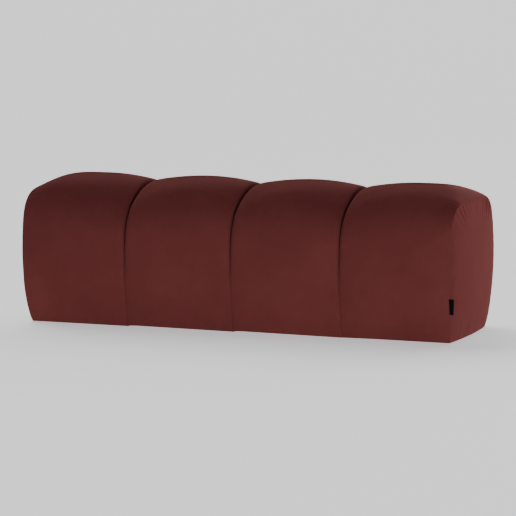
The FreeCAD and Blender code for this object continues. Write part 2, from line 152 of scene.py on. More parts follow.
class BenchShape(bpy.types.PropertyGroup):
    """Shape of the padded velvet."""

    belly_height: length("Belly height", "Height at which front and back stand out furthest", 0.221)
    hem_set_in: length("Hem set-in", "How far the hem is drawn in behind the belly", 0.044)
    shoulder_radius: length("Shoulder radius", "Roll from the front over to the top, mid bay", 0.160)
    top_radius: length("Top radius", "Crown of the top from front to back, mid bay", 0.48)
    groove_drop: length("Groove drop", "Fall of the top into a sewn groove", 0.018)
    groove_set_in: length("Groove set-in", "Fall of the front into a sewn groove", 0.014)
    groove_shoulder: length("Groove shoulder", "Roll from the front over to the top at a groove", 0.131)
    groove_top: length("Groove top", "Crown of the top from front to back at a groove", 0.305)
    groove_power: number("Groove roll", "Sharpness of the roll into a groove", 2.0)
    end_drop: length("End drop", "Fall of the top towards an end seam", 0.0395)
    end_set_in: length("End set-in", "Fall of the front towards an end seam", 0.0199)
    end_hem: length("End hem", "Extra set-in of the hem towards an end seam", 0.026)
    end_shoulder: length("End shoulder", "Roll from the front over to the top at an end seam", 0.100)
    end_top: length("End top", "Crown of the top from front to back at an end seam", 2.2)
    end_power: number("End roll", "Sharpness of the roll into an end seam", 4.1)
    end_upright: length("End upright radius", "Swell of an end panel from hem to top", 1.12)
    end_level: length("End level radius", "Swell of an end panel from front to back", 2.0)
    end_middle: length("End middle", "Height of an end panel's fullest point", 0.228)
    end_corner: length("End corner", "Extra fall of an end panel towards its upright edges", 0.0104)
    corner_width: length("Corner width", "Distance over which an end corner runs out", 0.0165)
    crease_top: length("Crease on top", "Extra depth right at a groove's stitches, over the top", 0.014)
    crease_hem: length("Crease at hem", "Extra depth right at a groove's stitches, at the hem", 0.0025)
    crease_width: length("Crease width", "Distance over which a crease runs out", 0.0045)
    seam_pinch: length("Seam pinch", "How far the stitches draw an end seam in", 0.0006)
    seam_width: length("Seam width", "Distance over which the pinch runs out", 0.006)
    pucker: length("Pucker", "Height of the gathers beside the end seams' upper corners", 0.0018)
    hem_tuck: length("Hem tuck", "How far the velvet rolls under right at the hem", 0.0015)
    hem_dip: length("Hem dip", "How far the hem of the end panels hangs lower than the others", 0.0055)
    hem_point: length("Hem point", "How far the hem hangs lower where a groove's seam meets it", 0.004)
    hem_ripple: length("Hem ripple", "Unevenness of the stapled hem", 0.0016)
    pressure: number("Foam pressure", "Push of the foam on the velvet while it settles", 1.5)
    draw: number("Draw", "Share by which the velvet is cut smaller than its foam", 0.001)
    give: length("Give", "Furthest that the velvet may move while it settles", 0.005)


class BenchFinish(bpy.types.PropertyGroup):
    """Colours of the bench."""

    velvet: colour("Velvet", "Pile of the velvet", (0.139, 0.0350, 0.0335))
    velvet_shade: colour("Velvet shade", "Pile that lies the other way", (0.119, 0.0295, 0.0283))
    velvet_sheen: colour("Velvet sheen", "Light caught by the pile's tips", (1.0, 0.45, 0.42))
    foam: colour("Foam", "Cut foam inside", (0.72, 0.66, 0.45))
    lining: colour("Lining", "Cloth under the bench", (0.016, 0.016, 0.017))
    tape: colour("Tape", "Tapes in the grooves", (0.55, 0.50, 0.42))
    label: colour("Label", "Bare loop label", (0.004, 0.004, 0.0044))
    pine: colour("Pine", "Rails and posts", (0.60, 0.42, 0.23))
    plywood: colour("Plywood", "Deck and dividers", (0.56, 0.40, 0.24))
    hardboard: colour("Hardboard", "Boards on the frame's sides", (0.23, 0.13, 0.07))
    glide: colour("Glide", "Moulded glides", (0.02, 0.02, 0.02))
    steel: colour("Steel", "Screws and staples", (0.60, 0.58, 0.54))


class BenchStage(bpy.types.PropertyGroup):
    """Camera, floor and lights."""

    azimuth: angle("Azimuth", "Camera's turn from the front towards the right end", 20.606)
    elevation: angle("Elevation", "Camera's height above level", 6.775)
    distance: length("Distance", "From the camera to its target", 8.551)
    focal_pixels: number("Focal length", "In pixels of the square picture", 2798.0)
    picture: IntProperty(name="Picture", description="Picture's width and height, in pixels", default=516)
    target_x: length("Target along", "Target's place along the bench", 0.0034)
    target_z: length("Target height", "Target's height", 0.2039)
    floor: colour("Floor", "Pale floor", (0.86, 0.86, 0.86))
    floor_glow: number("Floor glow", "Light that the pale floor gives off", 0.594)
    front_power: number("Front", "Low soft light on the front", 116.0, "POWER")
    side_power: number("Side", "Low soft light on the front right corner", 244.0, "POWER")
    end_power: number("End", "Soft light past the right end, from behind", 195.0, "POWER")
    back_strength: number("Back", "Wide low light from behind", 1.45)
    left_strength: number("Left", "Wide light from the left, above", 1.85)
    air: number("Air", "Light from all around", 0.005)


def only(piece):
    """Makes a piece the one selected, active object."""
    if bpy.context.object and bpy.context.object.mode != "OBJECT":
        bpy.ops.object.mode_set(mode="OBJECT")
    bpy.ops.object.select_all(action="DESELECT")
    piece.select_set(True)
    bpy.context.view_layer.objects.active = piece


def named_primitive(name, add, **sizes):
    """Adds a primitive with nothing else selected, and names it."""
    bpy.ops.object.select_all(action="DESELECT")
    add(**sizes)
    piece = bpy.context.object
    piece.name = name
    piece.data.name = name
    return piece


def named_grid(name, columns, rows):
    """Adds a flat grid from -1 to 1 with this many cells each way."""
    add = bpy.ops.mesh.primitive_grid_add
    return named_primitive(name, add, x_subdivisions=columns, y_subdivisions=rows, size=2.0)


def apply_modifier(piece, kind, **settings):
    """Adds a modifier with these settings and applies it."""
    only(piece)
    modifier = piece.modifiers.new(kind.lower(), kind)
    for key, value in settings.items():
        setattr(modifier, key, value)
    bpy.ops.object.modifier_apply(modifier=modifier.name)


def tidy_mesh(piece, apart=1e-6):
    """Merges doubles, drops faces of no size and turns all faces outwards."""
    only(piece)
    bpy.ops.object.mode_set(mode="EDIT")
    bpy.ops.mesh.select_all(action="SELECT")
    bpy.ops.mesh.remove_doubles(threshold=apart)
    bpy.ops.mesh.dissolve_degenerate(threshold=apart)
    bpy.ops.mesh.select_all(action="SELECT")
    bpy.ops.mesh.normals_make_consistent(inside=False)
    bpy.ops.object.mode_set(mode="OBJECT")


def smooth_faces(piece):
    """Shades a piece smooth, apart from its sharp edges."""
    only(piece)
    bpy.ops.object.shade_smooth_by_angle(angle=SHARP)


def thicken(piece, thickness, offset, material):
    """Gives a flat piece its thickness and its material."""
    apply_modifier(piece, "SOLIDIFY", thickness=thickness, offset=offset)
    tidy_mesh(piece)
    piece.data.materials.append(material)


def points_of(piece):
    """Vertex places of a piece as an array."""
    flat = np.empty(len(piece.data.vertices) * 3)
    piece.data.vertices.foreach_get("co", flat)
    return flat.reshape(-1, 3)


def set_points(piece, points):
    """Moves the vertices of a piece."""
    piece.data.vertices.foreach_set("co", np.ascontiguousarray(points, dtype=np.float32).ravel())
    piece.data.update()


def corner_vertices(mesh):
    """Vertex number at each corner of a mesh's faces."""
    corner = np.empty(len(mesh.loops), dtype=int)
    mesh.loops.foreach_get("vertex_index", corner)
    return corner


def settle(piece, slot, *nodes):
    """Hangs a finished piece on the bench in place of its nodes."""
    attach(piece, "root")
    if nodes:
        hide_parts(*nodes)


def bay_middle(bay):
    """Place of the middle of a bay along the bench."""
    return (bay + 0.5 - BAYS / 2) * PITCH


def section(shape, bay, x):
    """Top, belly, hem, shoulder roll and top crown of a bay's cross-section at places x."""
    share = (x - bay_middle(bay)) / (PITCH / 2)
    at_end = (share < 0) if bay == 0 else (share > 0) & (bay == BAYS - 1)
    lost = np.abs(share) ** np.where(at_end, shape.end_power, shape.groove_power)
    turned = np.minimum(lost, 1.0)
    top = TOP_Z - np.where(at_end, shape.end_drop, shape.groove_drop) * lost
    belly = BELLY_Y - np.where(at_end, shape.end_set_in, shape.groove_set_in) * lost
    hem = BELLY_Y - shape.hem_set_in - np.where(at_end, shape.end_hem, 0.0) * lost
    roll = shape.shoulder_radius
    roll = roll + (np.where(at_end, shape.end_shoulder, shape.groove_shoulder) - roll) * turned
    bend = 1 / shape.top_radius
    bend = bend + (1 / np.where(at_end, shape.end_top, shape.groove_top) - bend) * turned
    return top, belly, hem, roll, 1 / bend


def face(shape, bay, x, share):
    """Places (y, z) on the velvet's face and its outward directions, from front hem at 0 to rear hem at 1."""
    top, belly, hem, roll, over = section(shape, bay, x)
    set_in = belly - hem
    rise = shape.belly_height - HEM_Z
    side = (set_in ** 2 + rise ** 2) / (2 * set_in)
    side_y, side_z = belly - side, shape.belly_height
    over_z = top - over
    apart = np.hypot(side_y, over_z - side_z)
    along = ((side - roll) ** 2 - (over - roll) ** 2 + apart ** 2) / (2 * apart)
    aside = np.sqrt((side - roll) ** 2 - along ** 2)
    roll_y = side_y + (-along * side_y - aside * (over_z - side_z)) / apart
    roll_z = side_z + (along * (over_z - side_z) - aside * side_y) / apart
    foot_turn = np.arcsin((HEM_Z - side_z) / side)
    side_turn = np.arctan2(roll_z - side_z, roll_y - side_y)
    roll_turn = np.arctan2(roll_z - over_z, roll_y)
    side_run = side * (side_turn - foot_turn)
    roll_run = roll * (roll_turn - side_turn)
    half_run = side_run + roll_run + over * (math.pi / 2 - roll_turn)
    run = (1 - np.abs(2 * share - 1)) * half_run
    on_side = run < side_run
    on_roll = run < side_run + roll_run
    turn = np.where(on_side, foot_turn + run / side, np.where(
        on_roll, side_turn + (run - side_run) / roll, roll_turn + (run - side_run - roll_run) / over))
    centre_y = np.where(on_side, side_y, np.where(on_roll, roll_y, 0.0))
    centre_z = np.where(on_side, side_z, np.where(on_roll, roll_z, over_z))
    radius = np.where(on_side, side, np.where(on_roll, roll, over))
    facing = np.where(share < 0.5, -1.0, 1.0)
    y = facing * (centre_y + radius * np.cos(turn))
    z = centre_z + radius * np.sin(turn)
    return y, z, facing * np.cos(turn), np.sin(turn)


def end_ball(shape, y, z):
    """Distance along the bench to an end panel's swell, rounded off towards its upright edges."""
    inside = np.maximum(BELLY_Y - shape.end_set_in - np.abs(y), 0.0)
    fall = y ** 2 / (2 * shape.end_level) + (z - shape.end_middle) ** 2 / (2 * shape.end_upright)
    return END_X - fall - shape.end_corner * np.exp(-inside / shape.corner_width)


def above_hem(z):
    """Height above the hem, nothing below it."""
    return np.maximum(z - HEM_Z, 0.0)


def tuck(shape, z):
    """Roll of the velvet towards the underside just above the hem."""
    return shape.hem_tuck * np.exp(-above_hem(z) / TUCK_RISE)


def dip(shape, z):
    """Fall of an end panel's lowest part towards the floor."""
    return shape.hem_dip * np.exp(-above_hem(z) / DIP_RISE)


def hem_fold(shape, x, z, phase):
    """Unevenness of the velvet just above the hem, where it is pulled under and stapled."""
    wave = sum(height * np.sin(x * turn + shift * phase) for turn, shift, height in RIPPLES)
    return shape.hem_ripple * wave * np.exp(-(z - HEM_Z) / RIPPLE_RISE)


def rim(shape, side, share):
    """One end's seam, drawn in by its stitches: places x, y, z from the front hem to the rear hem."""
    x = np.full_like(share, END_X - shape.end_drop)
    for _ in range(MEETING_STEPS):
        y, z, face_y, face_z = face(shape, END_BAY[side], side * x, share)
        x = (x + end_ball(shape, y, z)) / 2
    z = np.maximum(z - shape.seam_pinch * face_z, HEM_Z)
    y = y - shape.seam_pinch * face_y - np.sign(y) * tuck(shape, z)
    x = side * (end_ball(shape, y, z) - shape.seam_pinch - 2 * tuck(shape, z))
    return x, y, z - dip(shape, z)


def smooth(low, high, value):
    """Eased step from 0 at low to 1 at high."""
    share = np.clip((value - low) / (high - low), 0.0, 1.0)
    return share * share * (3 - 2 * share)


def gathers(shape, share, away, apart, reach, phase):
    """Height of the gathers beside an end seam, strongest at its upper corners."""
    wide = GATHER_WIDE * apart
    near_corner = np.minimum(np.abs(share - CORNER), np.abs(1 - share - CORNER))
    along = share * RIM_RUN
    stray = GATHER_STRAY * np.sin(along * GATHER_DRIFT / apart + phase)
    wave = np.sin(2 * math.pi * along / apart + phase + stray)
    wave = wave + GATHER_WIDE_HEIGHT * np.sin(2 * math.pi * along / wide + GATHER_WIDE_PHASE * phase)
    strength = GATHER_LEAST + np.exp(-(near_corner * RIM_RUN / wide) ** 2)
    fade = away / reach * np.exp(1 - away / reach)
    return shape.pucker * strength * wave * fade


def raised(grid, height):
    """Moves a grid of places outwards by a height at each, along the grid's own normals."""
    across, along = np.gradient(grid, axis=1), np.gradient(grid, axis=0)
    normal = np.cross(across, along)
    normal /= np.maximum(np.linalg.norm(normal, axis=2, keepdims=True), TINY)
    return grid + normal * height[:, :, None]


def column_places():
    """Shares across a bay, close together beside its seams."""
    near = np.array(SEAM_STEPS)
    count = int(round((PITCH - 2 * near[-1]) / PLAIN_STEP))
    plain = np.linspace(near[-1], PITCH - near[-1], count + 1)[1:-1]
    return np.concatenate([near, plain, (PITCH - near)[::-1]]) / PITCH


def bay_points(shape, bay):
    """Places of a bay's velvet before it settles, as rows by columns."""
    across, share = np.meshgrid(column_places(), np.linspace(0.0, 1.0, ROWS))
    left = np.full_like(share, bay_middle(bay) - PITCH / 2)
    edges = {-1: left, 1: left + PITCH}
    rims = {side: rim(shape, side, share[:, 0]) for side in END_BAY if END_BAY[side] == bay}
    for side, places in rims.items():
        edges[side] = np.broadcast_to(places[0][:, None], share.shape)
    x = edges[-1] + across * (edges[1] - edges[-1])
    y, z, face_y, face_z = face(shape, bay, x, share)
    inset = np.zeros_like(x)
    upper = smooth(0.5 * shape.belly_height, DECK_Z, z)
    depth = shape.crease_hem + (shape.crease_top - shape.crease_hem) * upper
    for side, edge in edges.items():
        away = np.abs(x - edge)
        if side in rims:
            inset += shape.seam_pinch * np.exp(-away / shape.seam_width)
        else:
            inset += depth * np.exp(-away / shape.crease_width)
    inset += hem_fold(shape, x, z, phase=1.0 + bay)
    z = np.maximum(z - inset * face_z, HEM_Z)
    y = y - inset * face_y - np.sign(y) * tuck(shape, z)
    z[[0, -1]] = HEM_Z
    for side, column in SEAM_COLUMN.items():
        away = np.abs(x - x[:, [column]])
        if side in rims:
            z = z - dip(shape, z) * np.exp(-away / DIP_RUN)
            y[:, column], z[:, column] = rims[side][1:]
        else:
            z = z - shape.hem_point * np.exp(-away / POINT_RUN - above_hem(z) / POINT_RISE)
    return np.stack([x, y, z], -1)


def seam_shares(a, b):
    """On an end panel's square grid: nearest share of its seam, ring from the middle, and if at the hem."""
    ring = np.maximum(np.abs(a), np.abs(b))
    a_edge = a / np.maximum(ring, TINY)
    b_edge = b / np.maximum(ring, TINY)
    on_front = a_edge <= -1 + TINY
    on_top = b_edge >= 1 - TINY
    on_hem = b_edge <= -1 + TINY
    up = (b_edge + 1) / 6
    share = np.where(on_front, up, np.where(on_top, 1 / 3 + (a_edge + 1) / 6, 1 - up))
    return share, ring, on_hem


def end_points(shape, side):
    """Places of an end panel's velvet before it settles, as rows by columns."""
    step = np.linspace(-1.0, 1.0, END_CELLS + 1)
    a, b = np.meshgrid(step, step)
    share, ring, on_hem = seam_shares(a, b)
    a_edge = a / np.maximum(ring, TINY)
    marks = np.linspace(0.0, 1.0, ROWS)
    rim_x, rim_y, rim_z = rim(shape, side, marks)
    hem_y = rim_y[0] + (a_edge + 1) / 2 * (rim_y[-1] - rim_y[0])
    edge_y = np.where(on_hem, hem_y, np.interp(share, marks, rim_y))
    edge_z = np.where(on_hem, HEM_Z, np.interp(share, marks, np.maximum(rim_z, HEM_Z)))
    y = ring * edge_y
    z = shape.end_middle + ring * (edge_z - shape.end_middle)
    away = (1 - ring) * np.hypot(edge_y, edge_z - shape.end_middle)
    inset = shape.seam_pinch * np.exp(-away / shape.seam_width) + 2 * tuck(shape, z)
    inset = inset + hem_fold(shape, y, z, phase=3.0 + side) * (1 - ring ** RIPPLE_END)
    x = side * (end_ball(shape, y, z) - inset)
    z = z - dip(shape, z)
    on_rim = (ring > 1 - TINY) & ~on_hem
    x = np.where(on_rim, np.interp(share, marks, rim_x), x)
    z = np.where(on_rim, np.interp(share, marks, rim_z), z)
    points = np.stack([x, y, z], -1)
    return points if side > 0 else points[:, ::-1]


def skin_from_points(name, points):
    """Grid of velvet with these places, with its rows and columns in a UV map."""
    rows, columns = points.shape[:2]
    skin = named_grid(name, columns - 1, rows - 1)
    place = points_of(skin)
    column = np.rint((place[:, 0] + 1) / 2 * (columns - 1)).astype(int)
    row = np.rint((place[:, 1] + 1) / 2 * (rows - 1)).astype(int)
    set_points(skin, points[row, column])
    layer = skin.data.uv_layers.active or skin.data.uv_layers.new(name="weave")
    layer.name = "weave"
    uv = np.stack([column / (columns - 1), row / (rows - 1)], -1)[corner_vertices(skin.data)]
    layer.data.foreach_set("uv", uv.astype(np.float32).ravel())
    edge = (column == 0) | (column == columns - 1) | (row == 0) | (row == rows - 1)
    skin.vertex_groups.new(name="sewn").add(np.flatnonzero(edge).tolist(), 1.0, "REPLACE")
    return skin


def settle_cloth(skin, shape, frames=20):
    """Lets the velvet settle over its foam, held along its sewn edges."""
    before = points_of(skin)
    only(skin)
    cloth = skin.modifiers.new("settle", "CLOTH")
    velvet = cloth.settings
    velvet.quality = 6
    velvet.mass = 0.3
    velvet.tension_stiffness = 15
    velvet.compression_stiffness = 15
    velvet.shear_stiffness = 5
    velvet.bending_stiffness = 8
    velvet.use_pressure = True
    velvet.uniform_pressure_force = shape.pressure
    velvet.shrink_min = shape.draw
    velvet.vertex_group_mass = "sewn"
    velvet.effector_weights.gravity = 0
    cloth.point_cache.frame_start = 1
    cloth.point_cache.frame_end = frames
    for number in range(1, frames + 1):
        bpy.context.scene.frame_set(number)
    bpy.ops.object.modifier_apply(modifier=cloth.name)
    bpy.context.scene.frame_set(1)
    moved = points_of(skin) - before
    distance = np.linalg.norm(moved, axis=1, keepdims=True)
    set_points(skin, before + moved * np.minimum(1.0, shape.give / np.maximum(distance, TINY)))


def finished_grid(skin, rows, columns):
    """Subdivides a skin once and gives its places back as rows by columns, then drops it."""
    apply_modifier(skin, "SUBSURF", levels=1, render_levels=1, uv_smooth="NONE",
                   boundary_smooth="PRESERVE_CORNERS")
    mesh = skin.data
    uv = np.empty(len(mesh.loops) * 2, dtype=np.float32)
    mesh.uv_layers["weave"].data.foreach_get("uv", uv)
    last = np.array([2 * columns - 2, 2 * rows - 2])
    column, row = np.rint(uv.reshape(-1, 2) * last).astype(int).T
    grid = np.empty((2 * rows - 1, 2 * columns - 1, 3))
    grid[row, column] = points_of(skin)[corner_vertices(mesh)]
    bpy.data.objects.remove(skin)
    bpy.data.meshes.remove(mesh)
    return grid


def velvet_grid(name, points, shape):
    """Settled and subdivided velvet as rows by columns."""
    skin = skin_from_points(name, points)
    settle_cloth(skin, shape)
    return finished_grid(skin, *points.shape[:2])


def gathered_bay(shape, grid, bay):
    """A bay's settled velvet with its gathers beside an end seam."""
    share = np.linspace(0.0, 1.0, grid.shape[0])[:, None]
    for side, at_bay in END_BAY.items():
        if bay == at_bay:
            away = np.linalg.norm(grid - grid[:, [SEAM_COLUMN[side]]], axis=2)
            height = gathers(shape, share, away, *BAY_GATHERS, phase=0.8 + side)
            grid = raised(grid, BAY_GATHER_SHARE * height)
    return grid


def gathered_end(shape, grid, side):
    """An end panel's settled velvet with its gathers beside the seam."""
    step = np.linspace(-1.0, 1.0, grid.shape[0])
    share, ring, on_hem = seam_shares(*np.meshgrid(step if side > 0 else -step, step))
    away = (1 - ring) * np.hypot(BELLY_Y, shape.end_middle)
    height = gathers(shape, share, away, *END_GATHERS, phase=2.2 + side)
    return raised(grid, np.where(on_hem, 0.0, height))


def against_frame(points, x):
    """Nearest places on the boarded frame's outline, at a place along the bench."""
    inner = np.empty_like(points)
    inner[:, 0] = x
    inner[:, 1] = np.clip(points[:, 1], -FRAME_Y, FRAME_Y)
    inner[:, 2] = np.clip(points[:, 2], HEM_Z, DECK_Z)
    return inner


def numbered(grid):
    """Vertex numbers of a grid's places, row by row."""
    rows, columns = grid.shape[:2]
    return np.arange(rows * columns).reshape(rows, columns)


def strip_faces(first, second):
    """Quads between two rows of vertex numbers."""
    return [[first[i], first[i + 1], second[i + 1], second[i]] for i in range(len(first) - 1)]


def closed_piece(name, grid, loops, under, behind, span):
    """Mesh of a velvet face with the faces that close it under the hem, and behind, where foam shows."""
    rows, columns = grid.shape[:2]
    number = numbered(grid)
    quads = np.stack([number[:-1, :-1], number[:-1, 1:], number[1:, 1:], number[1:, :-1]], -1)
    velvet = quads.reshape(-1, 4).tolist() + [[int(v) for v in corners] for corners in under]
    foam = [[int(v) for v in corners] for corners in behind]
    places = np.concatenate([grid.reshape(-1, 3)] + loops)
    mesh = bpy.data.meshes.new(name)
    mesh.from_pydata(places.tolist(), [], velvet + foam)
    shown = np.zeros(len(velvet) + len(foam), dtype=np.int32)
    shown[len(velvet):] = 1
    mesh.polygons.foreach_set("material_index", shown)
    layer = mesh.uv_layers.new(name="weave")
    across, along = np.meshgrid(np.linspace(0, span[0], columns), np.linspace(0, span[1], rows))
    uv = np.zeros((len(places), 2), dtype=np.float32)
    uv[:rows * columns] = np.stack([across, along], -1).reshape(-1, 2)
    layer.data.foreach_set("uv", uv[corner_vertices(mesh)].ravel())
    piece = bpy.data.objects.new(name, mesh)
    bpy.context.scene.collection.objects.link(piece)
    tidy_mesh(piece)
    smooth_faces(piece)
    return piece


def closed_bay(name, grid, bay):
    """A bay's velvet closed round the frame, with its seam allowances, its foam and the hem's underside."""
    loops = []
    for side, column in SEAM_COLUMN.items():
        outer = grid[:, column]
        is_end = bay == END_BAY[side]
        edge = side * FRAME_X if is_end else bay_middle(bay) + side * (PITCH / 2 - TAPE_HALF - TAPE_GAP)
        inner = against_frame(outer, edge)
        toward = inner - outer
        reach = np.linalg.norm(toward, axis=1, keepdims=True)
        turned = outer + toward * np.minimum(1.0, ALLOWANCE / reach)
        if not is_end:
            turned[:, 0] = edge
        loops += [turned, inner]
    number = numbered(grid)
    rows = len(number)
    left_turned, left_inner, right_turned, right_inner = number.size + np.arange(4 * rows).reshape(4, rows)
    behind = strip_faces(number[:, -1], right_turned) + strip_faces(right_turned, right_inner)
    behind += strip_faces(right_inner, left_inner) + strip_faces(left_inner, left_turned)
    behind += strip_faces(left_turned, number[:, 0])
    under = [[*number[row], right_turned[row], right_inner[row], left_inner[row], left_turned[row]]
             for row in (0, rows - 1)]
    return closed_piece(name, grid, loops, under, behind, (PITCH, WRAP_RUN))


def closed_end(name, grid, side):
    """An end panel's velvet closed behind, with its foam against the frame's end."""
    number = numbered(grid)
    loop = np.concatenate([number[0, :-1], number[:-1, -1], number[-1, :0:-1], number[:0:-1, 0]])
    inner = against_frame(grid.reshape(-1, 3)[loop], side * FRAME_X)
    inner_loop = number.size + np.arange(len(loop))
    faces = strip_faces([*loop, loop[0]], [*inner_loop, inner_loop[0]])
    hem = number.shape[1] - 1
    return closed_piece(name, grid, [inner], faces[:hem], faces[hem:] + [list(inner_loop)], END_SPAN)


def new_material(name):
    """Material with nodes, and its shader."""
    material = bpy.data.materials.new(name)
    material.use_nodes = True
    return material, material.node_tree.nodes["Principled BSDF"]


def set_inputs(node, values):
    """Sets a node's inputs to these numbers and colours."""
    for label, value in values.items():
        is_colour = hasattr(value, "__len__")
        node.inputs[label].default_value = (*value, 1.0) if is_colour else value


def new_group(name, colours, numbers):
    """Shader node group on a vector, colours and numbers, which gives a colour, a roughness and a height."""
    tree = bpy.data.node_groups.new(name, "ShaderNodeTree")
    sockets = (("INPUT", "Vector", ["Vector"]), ("INPUT", "Color", colours), ("INPUT", "Float", numbers),
               ("OUTPUT", "Color", ["Color"]), ("OUTPUT", "Float", ["Roughness", "Height"]))
    for way, kind, labels in sockets:
        for label in labels:
            tree.interface.new_socket(name=label, in_out=way, socket_type=f"NodeSocket{kind}")
    start = tree.nodes.new("NodeGroupInput")
    end = tree.nodes.new("NodeGroupOutput")
    return tree, start.outputs, end.inputs


def add_noise(tree, vector, scale, detail, roughness=0.5):
    """Noise texture on these coordinates; gives its value."""
    noise = tree.nodes.new("ShaderNodeTexNoise")
    set_inputs(noise, {"Detail": detail, "Roughness": roughness})
    tree.links.new(vector, noise.inputs["Vector"])
    tree.links.new(scale, noise.inputs["Scale"])
    return noise.outputs["Fac"]


def add_math(tree, operation, first, second):
    """Math node on two values or sockets; gives its value."""
    node = tree.nodes.new("ShaderNodeMath")
    node.operation = operation
    for socket, value in zip(node.inputs, (first, second)):
        if isinstance(value, (int, float)):
            socket.default_value = value
        else:
            tree.links.new(value, socket)
    return node.outputs[0]


def add_blend(tree, first, second, share):
    """A share of one value with the rest of another."""
    rest = add_math(tree, "MULTIPLY", second, 1 - share)
    return add_math(tree, "ADD", add_math(tree, "MULTIPLY", first, share), rest)


def add_swing(tree, value, noise, amount):
    """A value moved up and down by a noise about its middle."""
    swing = add_math(tree, "MULTIPLY", add_math(tree, "SUBTRACT", noise, 0.5), amount)
    return add_math(tree, "ADD", value, swing)


def add_range(tree, value, low, high, new_low, new_high):
    """Maps a value from one range to another, kept inside it."""
    node = tree.nodes.new("ShaderNodeMapRange")
    tree.links.new(value, node.inputs["Value"])
    set_inputs(node, {"From Min": low, "From Max": high, "To Min": new_low, "To Max": new_high})
    return node.outputs["Result"]


def add_mix(tree, share, first, second):
    """Mixes two colours by a share; gives the colour."""
    node = tree.nodes.new("ShaderNodeMix")
    node.data_type = "RGBA"
    tree.links.new(share, node.inputs["Factor"])
    tree.links.new(first, node.inputs["A"])
    tree.links.new(second, node.inputs["B"])
    return [socket for socket in node.outputs if socket.type == "RGBA"][0]


def cloth_nap():
    """Pile or felted cloth: patches that lie one way or the other, streaks and single fibres."""
    tree, start, end = new_group("cloth_nap", ("Pile", "Shade"), ("Patch Scale", "Fibre Scale"))
    vector = start["Vector"]
    patch = add_noise(tree, vector, start["Patch Scale"], 3.0, 0.55)
    finer = add_noise(tree, vector, add_math(tree, "MULTIPLY", start["Patch Scale"], 6.5), 2.0)
    fibre = add_noise(tree, vector, start["Fibre Scale"], 1.0)
    lie = add_swing(tree, add_blend(tree, patch, finer, 0.7), fibre, 0.22)
    share = add_range(tree, lie, 0.34, 0.66, 0.0, 1.0)
    tree.links.new(add_mix(tree, share, start["Shade"], start["Pile"]), end["Color"])
    tree.links.new(add_range(tree, lie, 0.3, 0.7, 0.92, 0.78), end["Roughness"])
    tree.links.new(add_blend(tree, fibre, finer, 0.5), end["Height"])
    return tree


def plain_weave():
    """Plain weave: threads over and under each other along two directions."""
    tree, start, end = new_group("plain_weave", ("Thread", "Gap"), ("Threads",))
    parts = tree.nodes.new("ShaderNodeSeparateXYZ")
    tree.links.new(start["Vector"], parts.inputs[0])
    across = add_math(tree, "ADD", parts.outputs["X"], parts.outputs["Y"])
    waves = [add_math(tree, "SINE", add_math(tree, "MULTIPLY", line, start["Threads"]), 0.0)
             for line in (across, parts.outputs["Z"])]
    over = add_range(tree, add_math(tree, "MULTIPLY", *waves), -0.8, 0.8, 0.0, 1.0)
    tree.links.new(add_mix(tree, over, start["Gap"], start["Thread"]), end["Color"])
    tree.links.new(add_range(tree, over, 0.0, 1.0, 0.85, 0.6), end["Roughness"])
    tree.links.new(over, end["Height"])
    return tree


def timber_grain():
    """Timber: long grain along the bench with darker growth lines."""
    tree, start, end = new_group("timber_grain", ("Pale", "Dark"), ("Line Scale", "Length"))
    parts = tree.nodes.new("ShaderNodeSeparateXYZ")
    tree.links.new(start["Vector"], parts.inputs[0])
    joined = tree.nodes.new("ShaderNodeCombineXYZ")
    tree.links.new(add_math(tree, "MULTIPLY", parts.outputs["X"], start["Length"]), joined.inputs["X"])
    tree.links.new(parts.outputs["Y"], joined.inputs["Y"])
    tree.links.new(parts.outputs["Z"], joined.inputs["Z"])
    lines = add_noise(tree, joined.outputs[0], start["Line Scale"], 4.0, 0.6)
    pores = add_noise(tree, joined.outputs[0], add_math(tree, "MULTIPLY", start["Line Scale"], 9.0), 2.0)
    both = add_blend(tree, lines, pores, 0.75)
    share = add_range(tree, both, 0.36, 0.62, 0.0, 1.0)
    tree.links.new(add_mix(tree, share, start["Dark"], start["Pale"]), end["Color"])
    tree.links.new(add_range(tree, both, 0.3, 0.7, 0.75, 0.55), end["Roughness"])
    tree.links.new(both, end["Height"])
    return tree


def fine_speckle():
    """Fine unevenness of moulded plastic and plated steel, with faint scuffs."""
    tree, start, end = new_group("fine_speckle", ("Face", "Scuff"), ("Scale", "Rough"))
    fine = add_noise(tree, start["Vector"], start["Scale"], 2.0)
    wide = add_noise(tree, start["Vector"], add_math(tree, "MULTIPLY", start["Scale"], 0.12), 3.0)
    scuffed = add_range(tree, wide, 0.52, 0.7, 0.0, 0.5)
    tree.links.new(add_mix(tree, scuffed, start["Face"], start["Scuff"]), end["Color"])
    tree.links.new(add_swing(tree, start["Rough"], fine, 0.25), end["Roughness"])
    tree.links.new(fine, end["Height"])
    return tree


def grouped_material(name, build, values, bump, depth, **shader_values):
    """Material whose colour, roughness and bump come from a shared group with these values, made once."""
    made = bpy.data.materials.get(name)
    if made:
        return made
    material, shader = new_material(name)
    tree = material.node_tree
    place = tree.nodes.new("ShaderNodeTexCoord")
    node = tree.nodes.new("ShaderNodeGroup")
    node.node_tree = bpy.data.node_groups.get(build.__name__) or build()
    set_inputs(node, values)
    relief = tree.nodes.new("ShaderNodeBump")
    set_inputs(relief, {"Strength": bump, "Distance": depth})
    set_inputs(shader, shader_values)
    tree.links.new(place.outputs["Object"], node.inputs["Vector"])
    tree.links.new(node.outputs["Color"], shader.inputs["Base Color"])
    tree.links.new(node.outputs["Roughness"], shader.inputs["Roughness"])
    tree.links.new(node.outputs["Height"], relief.inputs["Height"])
    tree.links.new(relief.outputs["Normal"], shader.inputs["Normal"])
    return material


def scaled(colour, share):
    """A colour made darker or paler by a share."""
    return tuple(channel * share for channel in colour)


